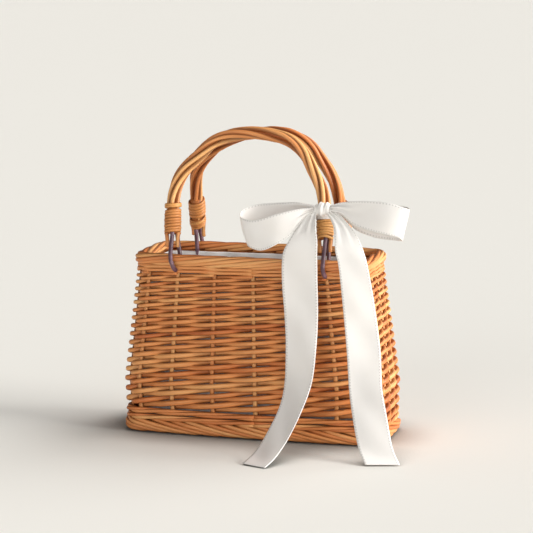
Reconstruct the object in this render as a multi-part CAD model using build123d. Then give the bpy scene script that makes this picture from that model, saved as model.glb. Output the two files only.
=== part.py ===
from build123d import *
import math
import os

# Flower girl basket: a small willow basket with two swinging handles, a cloth liner
# and a satin bow on the front handle. Millimetres. X is the width, -Y the front,
# Z up; the origin is the middle of the footprint, on the surface the basket stands on.

# ---------------------------------------------------------------- driving sizes
BASE_W, BASE_D = 250.0, 92.0          # foot border, outside
BELLY_W, BELLY_D = 249.0, 93.0        # woven wall at its widest
BELLY_Z = 50.0
NECK_W, NECK_D = 220.0, 86.0          # woven wall just under the rim
RIM_W, RIM_D = 224.0, 90.0            # rolled top border, outside
CORNER_R = 15.0
SIDE_BOW = 2.0                        # how far the short sides bulge
FRONT_BOW = 5.0                       # how far the long sides bulge

MAT_T = 7.0                           # woven base
FOOT_H = 12.0                         # foot border
UPSETT_Z = 23.0                       # top of the upsett wale
WALE_Z = 151.0                        # bottom of the top wale
NECK_Z = 155.0                        # top of the wale, underside of the border
RIM_Z = 167.0                         # top of the rolled border
WALL_T = 7.0
BORDER_T = 12.0                       # thickness of the rolled border
STAKE_R = 2.1
STAKE_END_GAP = 0.6

LINER_GAP, LINER_T = 0.6, 1.2
LINER_TOP = 153.0
LINER_FLOOR = FOOT_H + 0.4

BORDER_C_Z = RIM_Z - BORDER_T / 2     # hinge height: centre of the rolled border
FOOT_X = 72.0                         # handle feet, left and right of the middle
THONG_R = 2.2                         # half thickness of the leather thong
THONG_CLEAR = 1.0                     # air between the thong and the border
THONG_TOP_HALF = 4.0                  # half spacing of the thong's legs at the binding
THONG_GRIP = 4.0                      # how far the thong's ends reach into the binding
LOOP_R = BORDER_T / 2 + THONG_CLEAR + THONG_R
HANDLE_R = 5.8                        # half thickness of the bundle of rods
BINDING_R = 7.6
BINDING_LOW, BINDING_HIGH = 23.0, 50.0
STUB_R, STUB_LOW, STUB_SPREAD = 2.0, 11.5, 5.2
FRONT_ARCH = [(-76, 73), (-36, 113.5), (0, 119), (39, 111), (67.5, 66)]
BACK_ARCH = [(-68, 80), (-39, 107.5), (0, 118.5), (40, 114), (67, 72)]
ARCH_TOP = 119.0
TOP_GAP = 1.0                         # air between the two handles where they lean together

RIBBON_T = 1.6
RIBBON_W = 31.0
BAND_LOW, BAND_HIGH, BAND_T = 41.0, 49.0, 0.9
KNOT = (15.0, 9.0, 14.0)
LOOP_SIZE = (66.0, 17.0, 30.0)

os.makedirs("parts", exist_ok=True)


def save(name, *shapes):
    """Write one sub-part, one solid or a group of separate solids."""
    solids = [solid for shape in shapes for solid in shape.solids()]
    export_step(Compound(children=solids) if len(solids) > 1 else solids[0], f"parts/{name}.step")
    print(f"{name}: {len(solids)} solid(s), {sum(s.volume for s in solids):.0f} mm3")


def bow_at(x, width, bow):
    """How far the bulged long side has drawn in at x."""
    return bow * (x / (width / 2 - SIDE_BOW)) ** 2


def plan(width, depth, z, inset=0.0):
    """The basket's outline at one height: four gentle arcs with rounded corners."""
    a, b = width / 2 - inset, depth / 2 - inset
    cx, cy = a - SIDE_BOW, b - FRONT_BOW
    sides = [
        ThreePointArc((-cx, -cy), (0, -b), (cx, -cy)),
        ThreePointArc((cx, -cy), (a, 0), (cx, cy)),
        ThreePointArc((cx, cy), (0, b), (-cx, cy)),
        ThreePointArc((-cx, cy), (-a, 0), (-cx, -cy)),
    ]
    face = make_face(sides)
    face = fillet(face.vertices(), max(CORNER_R - inset, 4.0))
    return Pos(0, 0, z) * face


def between(z):
    """Width and depth of the woven wall's outside at a height."""
    if z <= BELLY_Z:
        k = (z - FOOT_H) / (BELLY_Z - FOOT_H)
        return BASE_W - 3 + k * (BELLY_W - BASE_W + 3), BASE_D - 2 + k * (BELLY_D - BASE_D + 2)
    k = (z - BELLY_Z) / (NECK_Z - BELLY_Z)
    return BELLY_W + k * (NECK_W - BELLY_W), BELLY_D + k * (NECK_D - BELLY_D)


def wall_core(low, high, inset):
    """A solid that fills the wall's outline from low to high, drawn in by inset."""
    heights = [low] + ([BELLY_Z] if low < BELLY_Z < high else []) + [high]
    return loft([plan(*between(z), z, inset) for z in heights], ruled=True)


def shell(low, high, outer, inner):
    """A wall between two insets."""
    return wall_core(low, high, outer) - wall_core(low, high, inner)


def rod(start, end, radius):
    """A straight round rod between two points."""
    axis = Vector(*end) - Vector(*start)
    return Plane(origin=start, z_dir=axis) * Cylinder(
        radius, axis.length, align=(Align.CENTER, Align.CENTER, Align.MIN))


# ---------------------------------------------------------------- willow basket
def stake_lines():
    """Bottom, belly and top point of every upright stake, in the middle of the wall."""
    inset = WALL_T / 2
    heights = (UPSETT_Z + STAKE_END_GAP, BELLY_Z, WALE_Z - STAKE_END_GAP)
    for share in (-0.8, -0.48, -0.16, 0.16, 0.48, 0.8):
        for side in (-1, 1):
            line = []
            for z in heights:
                w, d = between(z)
                x = share * (w / 2 - inset)
                line.append((x, side * (d / 2 - inset - bow_at(x, w, FRONT_BOW)), z))
            yield line
    for share in (-0.6, -0.2, 0.2, 0.6):
        for side in (-1, 1):
            line = []
            for z in heights:
                w, d = between(z)
                x = w / 2 - inset - SIDE_BOW * share ** 2
                line.append((side * x, share * (d / 2 - inset), z))
            yield line


def stake(low, belly, high):
    """One upright rod, bent where the wall is widest."""
    return loft([Pos(*point) * Circle(STAKE_R) for point in (low, belly, high)], ruled=True)


stakes = [stake(*line) for line in stake_lines()]
wall = shell(UPSETT_Z, WALE_Z, 0, WALL_T)      # the weavers grip the stakes inside this wall

sticks = [Pos(0, y, MAT_T / 2) * Box(BASE_W - 46, 4.0, 3.0) for y in (-24, -12, 0, 12, 24)]
mat = extrude(plan(BASE_W, BASE_D, 0, 9.0), MAT_T)
for stick in sticks:
    mat = mat - stick

foot = extrude(plan(BASE_W, BASE_D, 0), FOOT_H) - extrude(plan(BASE_W, BASE_D, 0, 9.0), FOOT_H)
upsett = shell(FOOT_H, UPSETT_Z, 0, WALL_T)
top_wale = shell(WALE_Z, NECK_Z, 0, WALL_T)

border = extrude(plan(RIM_W, RIM_D, NECK_Z), BORDER_T)
border = border - extrude(plan(RIM_W, RIM_D, NECK_Z, BORDER_T), BORDER_T)
border = fillet(border.edges().filter_by(Plane.XY), BORDER_T / 2 - 0.4)

FOOT_Y = RIM_D / 2 - BORDER_T / 2 - bow_at(FOOT_X, RIM_W, FRONT_BOW)
notch_h = LOOP_R + THONG_R + 1.2 - BORDER_T / 2
for side in (-1, 1):
    for x in (-FOOT_X, FOOT_X):
        notch = Pos(x, side * (FOOT_Y + 1), NECK_Z - notch_h / 2 + 0.01) * Box(
            2 * THONG_R + 1.6, 4 * WALL_T, notch_h)
        wall = wall - notch
        top_wale = top_wale - notch

liner_side = shell(LINER_FLOOR + LINER_T, LINER_TOP, WALL_T + LINER_GAP, WALL_T + LINER_GAP + LINER_T)
for side in (-1, 1):
    for x in (-FOOT_X, FOOT_X):
        liner_side = liner_side - Pos(x, side * FOOT_Y, LINER_TOP) * Box(
            2 * THONG_R + 3, 4 * WALL_T, 12)
liner_bottom = extrude(plan(*between(FOOT_H), LINER_FLOOR, WALL_T + LINER_GAP + 2.5), LINER_T)

save("base_sticks", *sticks)
save("base_mat", mat)
save("foot_border", foot)
save("upsett_wale", upsett)
save("side_stakes", *stakes)
save("woven_wall", wall)
save("top_wale", top_wale)
save("top_border", border)
save("liner_side", liner_side)
save("liner_bottom", liner_bottom)


# ---------------------------------------------------------------- handles
def rounded_route(points):
    """Straight runs joined by the largest tangent arcs that their lengths allow."""
    pts = [Vector(*p) for p in points]
    radii = []
    for before, corner, after in zip(pts, pts[1:], pts[2:]):
        run = min((corner - before).length, (after - corner).length)
        turn = (corner - before).get_angle(after - corner)
        radii.append(0.45 * run / math.tan(math.radians(turn) / 2))
    return FilletPolyline(*pts, radius=radii)


def thong(leg_top):
    """A leather thong: a loop under the border whose two ends rise into the binding."""
    far = math.hypot(THONG_TOP_HALF, leg_top)
    touch = math.atan2(leg_top, THONG_TOP_HALF) - math.acos(LOOP_R / far)
    tx, tz = LOOP_R * math.cos(touch), LOOP_R * math.sin(touch)
    path = Wire([
        Line((0, THONG_TOP_HALF, leg_top), (0, tx, tz)),
        ThreePointArc((0, tx, tz), (0, 0, -LOOP_R), (0, -tx, tz)),
        Line((0, -tx, tz), (0, -THONG_TOP_HALF, leg_top)),
    ])
    start = Plane(origin=path.position_at(0), z_dir=path.tangent_at(0))
    return sweep(start * Circle(THONG_R), path=path)


def handle_parts(arch):
    """One handle standing upright over the X axis, to be leaned into place."""
    left, right = (-FOOT_X, 0), (FOOT_X, 0)
    route = [left] + list(arch) + [right]
    parts = {}
    ends = []
    for name, foot_pt, next_pt in (("left", left, arch[0]), ("right", right, arch[-1])):
        dx, dz = next_pt[0] - foot_pt[0], next_pt[1] - foot_pt[1]
        run = math.hypot(dx, dz)
        ux, uz = dx / run, dz / run

        def at(height, across=0.0):
            return (foot_pt[0] + ux * height + uz * across, 0, foot_pt[1] + uz * height - ux * across)

        parts[f"{name}_binding"] = [rod(at(BINDING_LOW), at(BINDING_HIGH), BINDING_R)]
        parts[f"{name}_stubs"] = [
            rod(at(STUB_LOW, s * STUB_SPREAD), at(BINDING_LOW, s * STUB_SPREAD), STUB_R) for s in (-1, 1)]
        parts[f"{name}_thong"] = [Pos(foot_pt[0], 0, 0) * thong(BINDING_LOW + THONG_GRIP)]
        ends.append(at(BINDING_HIGH))
    points = [ends[0]] + [(x, 0, z) for x, z in route[1:-1]] + [ends[1]]
    path = rounded_route(points)
    start = Plane(origin=path.position_at(0), z_dir=path.tangent_at(0))
    parts["handle_rods"] = [sweep(start * Circle(HANDLE_R), path=path)]
    return parts


LEAN = math.degrees(math.asin((FOOT_Y - HANDLE_R - TOP_GAP / 2) / ARCH_TOP))
print(f"handle feet at y = {FOOT_Y:.2f}, lean {LEAN:.2f} degrees, hinge at z = {BORDER_C_Z:.2f}")

front_place = Pos(0, -FOOT_Y, BORDER_C_Z) * Rot(-LEAN, 0, 0)
back_place = Pos(0, FOOT_Y, BORDER_C_Z) * Rot(LEAN, 0, 0)
for node, pieces in handle_parts(FRONT_ARCH).items():
    save(f"front_{node}", *[front_place * piece for piece in pieces])
for node, pieces in handle_parts(BACK_ARCH).items():
    save(f"back_{node}", *[back_place * piece for piece in pieces])


# ---------------------------------------------------------------- ribbon
def strip(stations):
    """A flat ribbon through (x, y, z) stations, its face towards the front."""
    pts = [Vector(*p) for p in stations]
    sections = []
    for i, point in enumerate(pts):
        along = pts[min(i + 1, len(pts) - 1)] - pts[max(i - 1, 0)]
        across = Vector(1, 0, 0) - along * (along.X / along.length ** 2)
        sections.append(Plane(origin=point, x_dir=across, z_dir=along) * Rectangle(RIBBON_W, RIBBON_T))
    return loft(sections, ruled=True)


# the right leg of the front handle, where the bow is tied
LEG_TILT = math.degrees(math.atan2(FOOT_X - FRONT_ARCH[-1][0], FRONT_ARCH[-1][1]))
right_leg = front_place * Pos(FOOT_X, 0, 0) * Rot(0, -LEG_TILT, 0)
band_mid = (BAND_LOW + BAND_HIGH) / 2
band = Pos(0, 0, band_mid) * (
    Cylinder(BINDING_R + 0.05 + BAND_T, BAND_HIGH - BAND_LOW)
    - Cylinder(BINDING_R + 0.05, BAND_HIGH - BAND_LOW))
knot_y = -(BINDING_R + 0.05 + BAND_T + KNOT[1] / 2 + 0.05)
knot = fillet(Box(*KNOT).edges(), 3.0)
loops = {}
for side, drop, tilt in ((-1, -4.0, -13.0), (1, -1.0, 2.0)):
    body = fillet(Box(*LOOP_SIZE).edges(), 6.0)
    loops[side] = Pos(side * (KNOT[0] / 2 + LOOP_SIZE[0] / 2 + 1.5), knot_y - 3.0, band_mid + drop) * (
        Rot(0, tilt, 0) * body)

save("front_ribbon_band", right_leg * band)
save("front_ribbon_knot", right_leg * Pos(0, knot_y, band_mid) * knot)
save("front_ribbon_left_loop", right_leg * loops[-1])
save("front_ribbon_right_loop", right_leg * loops[1])
save("front_ribbon_left_tail", strip([
    (54, -58, 188), (50, -54, 165), (48, -54, 130), (47, -57, 90), (46, -68, 50), (44, -95, 18),
    (42, -126, 3.0), (41, -152, 1.4)]))
save("front_ribbon_right_tail", strip([
    (87, -58, 188), (95, -54, 165), (102, -54, 130), (110, -58, 90), (121, -70, 52), (136, -92, 20),
    (148, -116, 3.5), (158, -138, 1.6)]))
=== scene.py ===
"""Flower girl basket: woven willow body, twisted handles, leather thongs, cloth liner and satin bow."""
import logging
import math
from dataclasses import dataclass, field
from enum import Enum

import bpy
import numpy as np
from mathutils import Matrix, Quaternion, Vector


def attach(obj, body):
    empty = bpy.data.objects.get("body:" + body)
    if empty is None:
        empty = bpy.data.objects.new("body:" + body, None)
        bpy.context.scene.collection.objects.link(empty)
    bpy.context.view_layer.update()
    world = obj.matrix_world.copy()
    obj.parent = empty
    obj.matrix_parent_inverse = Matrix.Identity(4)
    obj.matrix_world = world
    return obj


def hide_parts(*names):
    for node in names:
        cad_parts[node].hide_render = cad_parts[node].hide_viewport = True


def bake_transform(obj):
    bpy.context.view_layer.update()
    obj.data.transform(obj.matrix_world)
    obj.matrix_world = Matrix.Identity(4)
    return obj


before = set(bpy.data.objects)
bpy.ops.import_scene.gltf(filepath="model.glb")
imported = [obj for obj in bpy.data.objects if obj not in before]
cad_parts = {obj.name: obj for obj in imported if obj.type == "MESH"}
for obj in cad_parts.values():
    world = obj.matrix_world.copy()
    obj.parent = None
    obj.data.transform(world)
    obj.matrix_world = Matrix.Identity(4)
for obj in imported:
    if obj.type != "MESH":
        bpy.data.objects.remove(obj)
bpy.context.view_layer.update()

log = logging.getLogger("flower_girl_basket")
MM = 0.001
X_AXIS, Y_AXIS, Z_AXIS = np.eye(3)
Array = np.ndarray


# ---------------------------------------------------------------- small geometry helpers
def unit(vectors: Array) -> Array:
    """Scale each row to length one.

    Args:
        vectors: Rows of vectors.

    Returns:
        The same directions, each of length one.
    """
    return vectors / np.maximum(np.linalg.norm(vectors, axis=-1, keepdims=True), 1e-12)


def smooth_line(points: list, count: int) -> Array:
    """Draw a Catmull-Rom curve through points of any dimension.

    Args:
        points: The points to pass through.
        count: How many samples to return.

    Returns:
        The samples, evenly spaced in the curve's own parameter.
    """
    pts = np.array(points, float)
    pts = np.vstack([2 * pts[0] - pts[1], pts, 2 * pts[-1] - pts[-2]])
    at = np.linspace(0, len(points) - 1 - 1e-9, count)
    cell = at.astype(int)
    t = (at - cell)[:, None]
    p0, p1, p2, p3 = (pts[cell + k] for k in range(4))
    return 0.5 * (2 * p1 + (p2 - p0) * t + (2 * p0 - 5 * p1 + 4 * p2 - p3) * t ** 2
                  + (3 * p1 - p0 - 3 * p2 + p3) * t ** 3)


def rounded_route(points: list, steps: int = 14) -> Array:
    """Join straight runs with tangent arcs, as the frame's own handle route does.

    Args:
        points: The route's corners.
        steps: Samples for each corner.

    Returns:
        Samples along the rounded route.
    """
    pts = np.array(points, float)
    out = [pts[0]]
    for before, corner, after in zip(pts, pts[1:], pts[2:]):
        back, on = unit(before - corner), unit(after - corner)
        reach = 0.45 * min(np.linalg.norm(before - corner), np.linalg.norm(after - corner))
        half = math.acos(float(np.clip(back @ on, -1, 1))) / 2
        centre = corner + unit(back + on) * reach / math.cos(half)
        radius = reach * math.tan(half)
        for t in np.linspace(0, 1, steps):
            chord = corner + reach * (back * (1 - t) + on * t)
            out.append(centre + unit(chord - centre) * radius)
    out.append(pts[-1])
    return np.array(out)


def distance_along(points: Array) -> Array:
    """Distance travelled at each point of a line."""
    return np.concatenate([[0], np.cumsum(np.linalg.norm(np.diff(points, axis=0), axis=1))])


def random_drift(rng: np.random.Generator, spread: float, turns: int, count: int) -> Array:
    """A smooth random wave.

    Args:
        rng: The source of the draws.
        spread: Standard deviation of the wave's turning points.
        turns: How many turning points it has.
        count: How many samples to return.

    Returns:
        The samples.
    """
    return smooth_line(rng.normal(0, spread, (turns, 1)).tolist(), count)[:, 0]


def resample(points: Array, count: int) -> Array:
    """Space samples evenly along a line.

    Args:
        points: The line's points.
        count: How many samples to return.

    Returns:
        The evenly spaced samples.
    """
    run = distance_along(points)
    at = np.linspace(0, run[-1], count)
    return np.stack([np.interp(at, run, points[:, k]) for k in range(points.shape[1])], axis=1)


def tangents(points: Array) -> Array:
    """Direction of travel at each point of a line."""
    return unit(np.gradient(points, axis=0))


def new_object(name: str, verts: Array, faces: list) -> bpy.types.Object:
    """Make a smooth-shaded mesh object in the scene.

    Args:
        name: The piece's name.
        verts: Vertex places, in metres.
        faces: Vertex numbers of each face.

    Returns:
        The new object.
    """
    mesh = bpy.data.meshes.new(name)
    mesh.from_pydata([tuple(v) for v in verts], [], faces)
    mesh.update()
    mesh.shade_smooth()
    obj = bpy.data.objects.new(name, mesh)
    bpy.context.scene.collection.objects.link(obj)
    return obj


class RodBundle:
    """Gathers many rods into one mesh and notes each vertex's grain, place round its rod's section and tone
    for the material; the place round the section drives painted shade on the rods' flanks.
    """

    def __init__(self, sides: int = 8) -> None:
        """Start an empty bundle whose rods have this many sides.

        Args:
            sides: Number of sides of each rod's section.
        """
        self.sides = sides
        self.verts: list = []
        self.faces: list = []
        self.grain: list = []
        self.tone: list = []
        self.count = 0

    def add(self, points: Array, radius: Array | float, hint: Array, tone: Array | float,
            flat: float = 1.0) -> None:
        """Add one rod with closed, slightly domed ends.

        Args:
            points: The rod's centre line, in metres.
            radius: Its radius, one number or one for each point.
            hint: A direction, or one for each point, that the section's thickness lies along.
            tone: Its place in the colour range, from 0 to 1, one number or one for each point.
            flat: Thickness along the hint as a share of the width across it.
        """
        points = np.asarray(points, float)
        n = len(points)
        radius = np.broadcast_to(np.asarray(radius, float), (n,))
        along = tangents(points)
        side = unit(np.cross(along, np.broadcast_to(hint, points.shape)))
        thick = unit(np.cross(side, along))
        run = distance_along(points)
        angle = np.linspace(0, 2 * math.pi, self.sides, endpoint=False)
        c, s = np.cos(angle), np.sin(angle)
        ring = (points[:, None, :] + radius[:, None, None] * (
            side[:, None, :] * c[None, :, None] + flat * thick[:, None, :] * s[None, :, None]))
        dome = 0.25 * radius[[0, -1], None] * along[[0, -1]] * [[-1.0], [1.0]]
        ends = points[[0, -1]] + dome
        self.verts.append(np.vstack([ring.reshape(-1, 3), ends]))
        # grain holds the run along the rod and the place round its section; the willow material paints shade
        # from the latter on the rods' flanks.
        spot = np.stack([np.repeat(run, self.sides), np.tile(c, n), np.tile(s, n)], axis=1)
        self.grain.append(np.vstack([spot, [[run[0], 0, 0], [run[-1], 0, 0]]]))
        shade = np.broadcast_to(np.asarray(tone, float), (n,))
        self.tone.append(np.concatenate([np.repeat(shade, self.sides), [shade[0], shade[-1]]]))
        k = self.sides
        for i in range(n - 1):
            for j in range(k):
                a, b = self.count + i * k + j, self.count + i * k + (j + 1) % k
                self.faces.append((a, b, b + k, a + k))
        first, last = self.count + n * k, self.count + n * k + 1
        for j in range(k):
            self.faces.append((self.count + (j + 1) % k, self.count + j, first))
            top = self.count + (n - 1) * k
            self.faces.append((top + j, top + (j + 1) % k, last))
        self.count += n * k + 2

    def build(self, name: str, finish: "Finish", node: str) -> bpy.types.Object:
        """Turn the bundle into one dressed object.

        Args:
            name: The piece's name.
            finish: The finish that it gets.
            node: The frame's solid that it stands for.

        Returns:
            The new object.
        """
        obj = new_object(name, np.vstack(self.verts), self.faces)
        grain = obj.data.attributes.new("grain", "FLOAT_VECTOR", "POINT")
        grain.data.foreach_set("vector", np.vstack(self.grain).astype(np.float32).ravel())
        tone = obj.data.attributes.new("tone", "FLOAT", "POINT")
        tone.data.foreach_set("value", np.concatenate(self.tone).astype(np.float32))
        obj.data.materials.append(finish.material())
        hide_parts(node)
        return obj


# ---------------------------------------------------------------- finishes
class Nodes:
    """A short way to write a node material."""

    def __init__(self, name: str) -> None:
        """Start a material with an empty Principled shader.

        Args:
            name: The material's name.
        """
        self.mat = bpy.data.materials.new(name)
        self.mat.use_nodes = True
        self.tree = self.mat.node_tree
        self.shader = self.tree.nodes["Principled BSDF"]

    def add(self, kind: str, **values: object) -> bpy.types.Node:
        """Add a node and set its properties or sockets.

        Args:
            kind: The node's type, without the ShaderNode prefix.
            **values: Properties by name, or input sockets by name with spaces as underscores.

        Returns:
            The new node.
        """
        node = self.tree.nodes.new(f"ShaderNode{kind}")
        for key, value in values.items():
            if hasattr(node, key):
                setattr(node, key, value)
            else:
                node.inputs[key.replace("_", " ")].default_value = value
        return node

    def link(self, source: bpy.types.NodeSocket, target: bpy.types.NodeSocket) -> None:
        """Join an output socket to an input socket."""
        self.tree.links.new(source, target)

    def ramp(self, source: bpy.types.NodeSocket, stops: list) -> bpy.types.NodeSocket:
        """Colour a value by stops.

        Args:
            source: The value, from 0 to 1.
            stops: Pairs of position and RGB colour.

        Returns:
            The colour socket.
        """
        node = self.add("ValToRGB")
        elements = node.color_ramp.elements
        while len(elements) < len(stops):
            elements.new(0.5)
        for element, (place, colour) in zip(elements, stops):
            element.position = place
            element.color = (*colour, 1.0)
        self.link(source, node.inputs["Fac"])
        return node.outputs["Color"]

    def mix(self, amount: bpy.types.NodeSocket | float, a: object, b: object,
            blend: str = "MIX") -> bpy.types.NodeSocket:
        """Mix two colours.

        Args:
            amount: A value socket or a number.
            a: The first colour, a socket or RGB.
            b: The second colour, a socket or RGB.
            blend: Blender's name of the blend.

        Returns:
            The mixed colour's socket.
        """
        node = self.add("MixRGB", blend_type=blend)
        for key, value in (("Fac", amount), ("Color1", a), ("Color2", b)):
            if isinstance(value, bpy.types.NodeSocket):
                self.link(value, node.inputs[key])
            else:
                node.inputs[key].default_value = value if key == "Fac" else (*value, 1.0)
        return node.outputs["Color"]

    def maths(self, operation: str, a: object, b: object = 0.0) -> bpy.types.NodeSocket:
        """Work out one sum.

        Args:
            operation: Blender's name of the sum.
            a: The first value, a socket or a number.
            b: The second value, a socket or a number.

        Returns:
            The result's socket.
        """
        node = self.add("Math", operation=operation)
        for k, value in enumerate((a, b)):
            if isinstance(value, bpy.types.NodeSocket):
                self.link(value, node.inputs[k])
            else:
                node.inputs[k].default_value = value
        return node.outputs[0]

    def noise(self, vector: bpy.types.NodeSocket, scale: float, detail: float = 3.0) -> bpy.types.NodeSocket:
        """A noise value over a vector.

        Args:
            vector: The place that the noise is read at.
            scale: How fine the noise is.
            detail: How many finer layers it has.

        Returns:
            The noise value's socket.
        """
        node = self.add("TexNoise", Scale=scale, Detail=detail)
        self.link(vector, node.inputs["Vector"])
        return node.outputs["Fac"]

    def bump(self, height: bpy.types.NodeSocket, strength: float, distance: float) -> None:
        """Raise the surface by a height.

        Args:
            height: The height, from 0 to 1.
            strength: How much of the effect shows.
            distance: How high it stands, in metres.
        """
        node = self.add("Bump", Strength=strength, Distance=distance)
        self.link(height, node.inputs["Height"])
        self.link(node.outputs["Normal"], self.shader.inputs["Normal"])


@dataclass(frozen=True)
class Finish:
    """Base of every finish: a material's name, the record's slot for it, and the material made once."""
    name: str
    slot: str

    def material(self) -> bpy.types.Material:
        """The finish's material, made once."""
        found = bpy.data.materials.get(self.name)
        return found if found else self.paint()

    def paint(self) -> bpy.types.Material:
        """Make the node material."""
        raise NotImplementedError


@dataclass(frozen=True)
class Willow(Finish):
    """Peeled, steamed willow: buff to red-brown rods with fine grain, small knots, a soft polish and painted
    shade on each rod's flanks where it meets its neighbours.
    """
    shades: tuple = ((0.0, (0.42, 0.10, 0.026)), (0.3, (0.64, 0.20, 0.055)), (0.62, (0.76, 0.30, 0.095)),
                     (1.0, (0.88, 0.47, 0.18)))
    roughness: float = 0.42
    grain_height: float = 0.00012
    # Colour that each rod's flanks are multiplied by: painted shade between neighbouring rods.
    painted_gap_shade: tuple = (0.42, 0.33, 0.27)

    def paint(self) -> bpy.types.Material:
        """Make the node material.

        Returns:
            The new material.
        """
        n = Nodes(self.name)
        grain = n.add("Attribute", attribute_name="grain").outputs["Vector"]
        tone = n.add("Attribute", attribute_name="tone").outputs["Fac"]
        place = n.add("TexCoord").outputs["Object"]
        stretch = n.add("Mapping", Scale=(55.0, 1.6, 1.6))
        n.link(grain, stretch.inputs["Vector"])
        shift = n.add("CombineXYZ")
        n.link(n.maths("MULTIPLY", tone, 37.0), shift.inputs["X"])
        moved = n.add("VectorMath", operation="ADD")
        n.link(stretch.outputs["Vector"], moved.inputs[0])
        n.link(shift.outputs["Vector"], moved.inputs[1])
        along = moved.outputs["Vector"]
        fibre = n.add("Mapping", Scale=(0.35, 7.0, 7.0))
        n.link(along, fibre.inputs["Vector"])
        fine = n.noise(fibre.outputs["Vector"], 1.3, 4.0)
        mottle = n.noise(along, 0.55, 2.0)
        drift = n.noise(place, 45.0, 2.0)
        level = n.maths("ADD", tone, n.maths("MULTIPLY", n.maths("SUBTRACT", mottle, 0.5), 0.6))
        level = n.maths("ADD", level, n.maths("MULTIPLY", n.maths("SUBTRACT", drift, 0.5), 0.12))
        colour = n.ramp(level, list(self.shades))
        streak = n.ramp(fine, [(0.30, (0.62, 0.55, 0.50)), (0.56, (1.0, 1.0, 1.0))])
        colour = n.mix(0.55, colour, streak, "MULTIPLY")
        knot = n.add("TexVoronoi", Scale=0.42)
        n.link(along, knot.inputs["Vector"])
        spot = n.ramp(knot.outputs["Distance"], [(0.05, (1.0, 1.0, 1.0)), (0.15, (0.0, 0.0, 0.0))])
        colour = n.mix(n.maths("MULTIPLY", spot, 0.7), colour, (0.10, 0.028, 0.01))
        # Painted shade: the colour darkens towards the sides of each rod's section, where rods meet,
        # standing in for the shade that falls between them.
        section = n.add("SeparateXYZ")
        n.link(grain, section.inputs["Vector"])
        turned = n.maths("ABSOLUTE", section.outputs["Y"])
        flank_painted_shade = n.ramp(turned, [(0.55, (1.0, 1.0, 1.0)), (1.0, self.painted_gap_shade)])
        colour = n.mix(1.0, colour, flank_painted_shade, "MULTIPLY")
        n.link(colour, n.shader.inputs["Base Color"])
        rough = n.maths("ADD", n.maths("MULTIPLY", fine, 0.25), self.roughness - 0.12)
        n.link(rough, n.shader.inputs["Roughness"])
        n.shader.inputs["Specular IOR Level"].default_value = 0.4
        n.bump(n.maths("ADD", fine, n.maths("MULTIPLY", spot, 1.5)), 0.5, self.grain_height)
        return n.mat


@dataclass(frozen=True)
class Leather(Finish):
    """Dark plum leather thong: fine pores, worn lighter in random patches."""
    colour: tuple = (0.085, 0.035, 0.052)
    worn: tuple = (0.22, 0.125, 0.16)

    def paint(self) -> bpy.types.Material:
        """Make the node material.

        Returns:
            The new material.
        """
        n = Nodes(self.name)
        place = n.add("TexCoord").outputs["Object"]
        cells = n.add("TexVoronoi", Scale=1500.0)
        n.link(place, cells.inputs["Vector"])
        wear = n.noise(place, 160.0, 4.0)
        colour = n.mix(n.ramp(wear, [(0.42, (0, 0, 0)), (0.72, (1, 1, 1))]), self.colour, self.worn)
        n.link(colour, n.shader.inputs["Base Color"])
        n.link(n.maths("ADD", n.maths("MULTIPLY", wear, 0.3), 0.26), n.shader.inputs["Roughness"])
        n.shader.inputs["Coat Weight"].default_value = 0.25
        n.shader.inputs["Coat Roughness"].default_value = 0.3
        n.bump(cells.outputs["Distance"], 0.4, 0.00015)
        return n.mat


@dataclass(frozen=True)
class Cloth(Finish):
    """Woven cloth: a thread pattern, slight shade drift and a sheen."""
    colour: tuple = (0.80, 0.79, 0.78)
    shade: tuple = (0.62, 0.61, 0.61)
    threads: float = 1500.0
    sheen: float = 0.3
    roughness: float = 0.9
    coat: float = 0.0
    thread_height: float = 0.00012
    anisotropic: float = 0.0
    selvedge: float = 0.0
    stitch: float = 0.0026

    def paint(self) -> bpy.types.Material:
        """Make the node material.

        Returns:
            The new material.
        """
        n = Nodes(self.name)
        place = n.add("TexCoord").outputs["Object"]
        warp = n.add("TexWave", wave_type="BANDS", bands_direction="X", Scale=self.threads / 6.3)
        weft = n.add("TexWave", wave_type="BANDS", bands_direction="Z", Scale=self.threads / 6.3)
        n.link(place, warp.inputs["Vector"])
        n.link(place, weft.inputs["Vector"])
        drift = n.noise(place, 28.0, 3.0)
        colour = n.mix(n.ramp(drift, [(0.35, (0, 0, 0)), (0.75, (1, 1, 1))]), self.colour, self.shade)
        if self.selvedge:
            colour = self.with_selvedge(n, colour)
        n.link(colour, n.shader.inputs["Base Color"])
        n.shader.inputs["Roughness"].default_value = self.roughness
        n.shader.inputs["Sheen Weight"].default_value = self.sheen
        n.shader.inputs["Sheen Roughness"].default_value = 0.35
        n.shader.inputs["Coat Weight"].default_value = self.coat
        n.shader.inputs["Coat Roughness"].default_value = 0.35
        n.shader.inputs["Anisotropic"].default_value = self.anisotropic
        n.bump(n.maths("MULTIPLY", warp.outputs["Fac"], weft.outputs["Fac"]), 0.35, self.thread_height)
        return n.mat

    def with_selvedge(self, n: Nodes, colour: bpy.types.NodeSocket) -> bpy.types.NodeSocket:
        """Draw the stitched line that runs along both edges of a ribbon.

        Args:
            n: The material's nodes.
            colour: The cloth's colour before the line.

        Returns:
            The colour with the line.
        """
        place = n.add("SeparateXYZ")
        n.link(n.add("Attribute", attribute_name="thread").outputs["Vector"], place.inputs["Vector"])
        edge = n.maths("ABSOLUTE", place.outputs["Y"])
        line = n.ramp(edge, [(0.85, (0, 0, 0)), (0.88, (1, 1, 1)), (0.94, (1, 1, 1)), (0.97, (0, 0, 0))])
        beat = n.maths("SINE", n.maths("MULTIPLY", place.outputs["X"], 2 * math.pi / self.stitch))
        dots = n.maths("ADD", n.maths("MULTIPLY", beat, 0.5), 0.5)
        amount = n.maths("MULTIPLY", n.maths("MULTIPLY", line, dots), self.selvedge)
        return n.mix(amount, colour, tuple(0.6 * v for v in self.shade))


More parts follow.
